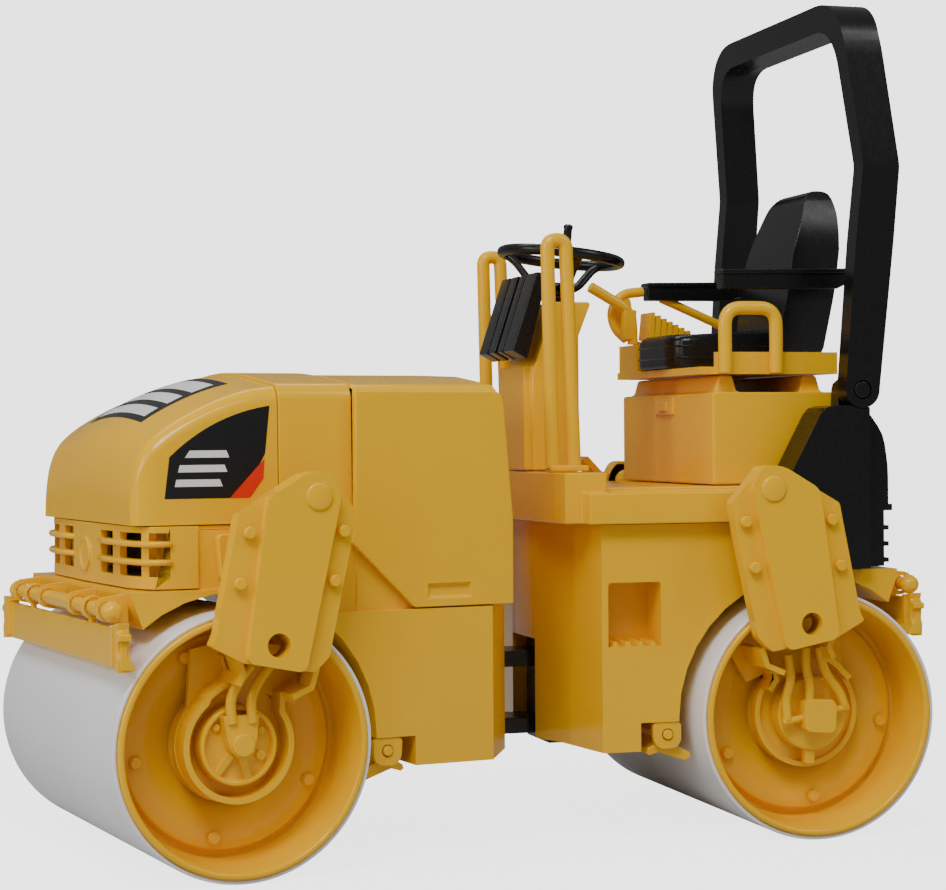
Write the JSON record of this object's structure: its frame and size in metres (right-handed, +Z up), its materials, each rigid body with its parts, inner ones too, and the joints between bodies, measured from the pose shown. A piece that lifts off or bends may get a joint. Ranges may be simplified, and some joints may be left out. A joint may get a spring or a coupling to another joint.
{
  "type": "toy road roller",
  "caption": "Toy tandem road roller with smooth drums, a centre steering joint, an opening engine hood, a sliding seat and a folding roll bar.",
  "frame": {"origin": "on the ground under the middle of the bounding box, with the front frame steered to the left at rest", "axes": "+X forwards along the rear frame, towards the engine hood; +Y to the machine's left; +Z up"},
  "size_m": [0.2729, 0.154, 0.2557],
  "materials": {
    "yellow_plastic": "gloss, injection moulded",
    "black_plastic": "satin",
    "grey_sleeve": "satin",
    "steel": "brushed"
  },
  "bodies": {
    "rear_frame": {"rear_chassis": "yellow_plastic", "rear_arm_left": "yellow_plastic", "rear_arm_right": "yellow_plastic", "rear_hub_left": "yellow_plastic", "rear_hub_right": "yellow_plastic", "rear_axle": "steel", "rear_spray_pipe": "yellow_plastic", "steer_yoke": "black_plastic", "steer_pin": "black_plastic", "operator_deck": "yellow_plastic", "seat_tank": "yellow_plastic", "steering_column": "yellow_plastic", "dash_cover": "black_plastic", "handrail_left": "yellow_plastic", "handrail_right": "yellow_plastic", "rear_cover": "black_plastic", "roll_bar_pin_left": "black_plastic", "roll_bar_pin_right": "black_plastic"},
    "front_frame": {"front_chassis": "yellow_plastic", "front_arm_left": "yellow_plastic", "front_arm_right": "yellow_plastic", "front_hub_left": "yellow_plastic", "front_hub_right": "yellow_plastic", "front_axle": "steel", "front_spray_pipe": "yellow_plastic", "steer_tongue": "black_plastic", "mid_cowl": "yellow_plastic", "rear_cowl": "yellow_plastic", "nose_grille": "yellow_plastic", "engine_block": "black_plastic", "side_cover_left": "yellow_plastic", "side_cover_right": "yellow_plastic", "lamp_left": "yellow_plastic", "lamp_right": "yellow_plastic", "side_hatch_left": "yellow_plastic", "side_hatch_right": "yellow_plastic"},
    "hood_lid": {"hood": "yellow_plastic"},
    "front_roller": {"front_drum": "yellow_plastic", "front_drum_sleeve": "grey_sleeve"},
    "rear_roller": {"rear_drum": "yellow_plastic", "rear_drum_sleeve": "grey_sleeve"},
    "front_scraper_bar": {"front_scraper": "yellow_plastic"},
    "rear_scraper_bar": {"rear_scraper": "yellow_plastic"},
    "front_inner_blade": {"front_inner_scraper": "yellow_plastic"},
    "rear_inner_blade": {"rear_inner_scraper": "yellow_plastic"},
    "wheel": {"steering_wheel": "black_plastic", "steering_shaft": "black_plastic"},
    "pedal": {"foot_pedal": "yellow_plastic"},
    "seat": {"seat_platform": "yellow_plastic", "seat_cushion": "black_plastic", "seat_back": "black_plastic", "armrest_left": "black_plastic", "armrest_right": "black_plastic", "loop_handle": "yellow_plastic", "grab_tube": "yellow_plastic", "control_boot": "yellow_plastic"},
    "lever": {"drive_lever": "yellow_plastic"},
    "roll_hoop": {"roll_bar": "black_plastic"}
  },
  "joints": [
    {"name": "steering_joint", "type": "hinge", "parent": "rear_frame", "child": "front_frame", "pos_m": [-0.0037, -0.0074, 0.042], "axis": [0, 0, 1], "range_deg": [-34.76, 15.24]},
    {"name": "front_drum_spin", "type": "hinge", "parent": "front_frame", "child": "front_roller", "pos_m": [0.08947, 0.00862, 0.0375], "axis": [-0.1695, 0.9855, 0], "continuous": true},
    {"name": "rear_drum_spin", "type": "hinge", "parent": "rear_frame", "child": "rear_roller", "pos_m": [-0.09824, -0.0074, 0.0375], "axis": [0, 1, 0], "continuous": true},
    {"name": "hood_hinge", "type": "hinge", "parent": "front_frame", "child": "hood_lid", "pos_m": [0.07544, 0.00621, 0.1416], "axis": [0.1695, -0.9855, 0], "range_deg": [0, 60]},
    {"name": "steering_wheel_spin", "type": "hinge", "parent": "rear_frame", "child": "wheel", "pos_m": [-0.0366, -0.0074, 0.1789], "axis": [-0.1125, 0, 0.9937], "continuous": true},
    {"name": "roll_bar_fold", "type": "hinge", "parent": "rear_frame", "child": "roll_hoop", "pos_m": [-0.1144, -0.0074, 0.1356], "axis": [0, -1, 0], "range_deg": [0, 72]},
    {"name": "seat_slide", "type": "slide", "parent": "rear_frame", "child": "seat", "axis": [0, 1, 0], "range_m": [-0.008, 0.008]},
    {"name": "drive_lever_tilt", "type": "hinge", "parent": "seat", "child": "lever", "pos_m": [-0.0707, -0.0354, 0.1526], "axis": [0, 1, 0], "range_deg": [-10, 10]},
    {"name": "pedal_hinge", "type": "hinge", "parent": "rear_frame", "child": "pedal", "pos_m": [-0.0557, -0.0304, 0.1088], "axis": [0, 1, 0], "range_deg": [0, 12]},
    {"name": "front_scraper_swing", "type": "hinge", "parent": "front_frame", "child": "front_scraper_bar", "pos_m": [0.12343, 0.01446, 0.0756], "axis": [0.1695, -0.9855, 0], "range_deg": [0, 15]},
    {"name": "rear_scraper_swing", "type": "hinge", "parent": "rear_frame", "child": "rear_scraper_bar", "pos_m": [-0.1327, -0.0074, 0.0756], "axis": [0, 1, 0], "range_deg": [0, 15]},
    {"name": "front_inner_blade_swing", "type": "hinge", "parent": "front_frame", "child": "front_inner_blade", "pos_m": [0.0443, 0.00085, 0.0327], "axis": [-0.1695, 0.9855, 0], "range_deg": [0, 20]},
    {"name": "rear_inner_blade_swing", "type": "hinge", "parent": "rear_frame", "child": "rear_inner_blade", "pos_m": [-0.0524, -0.0074, 0.0327], "axis": [0, -1, 0], "range_deg": [0, 20]}
  ]
}
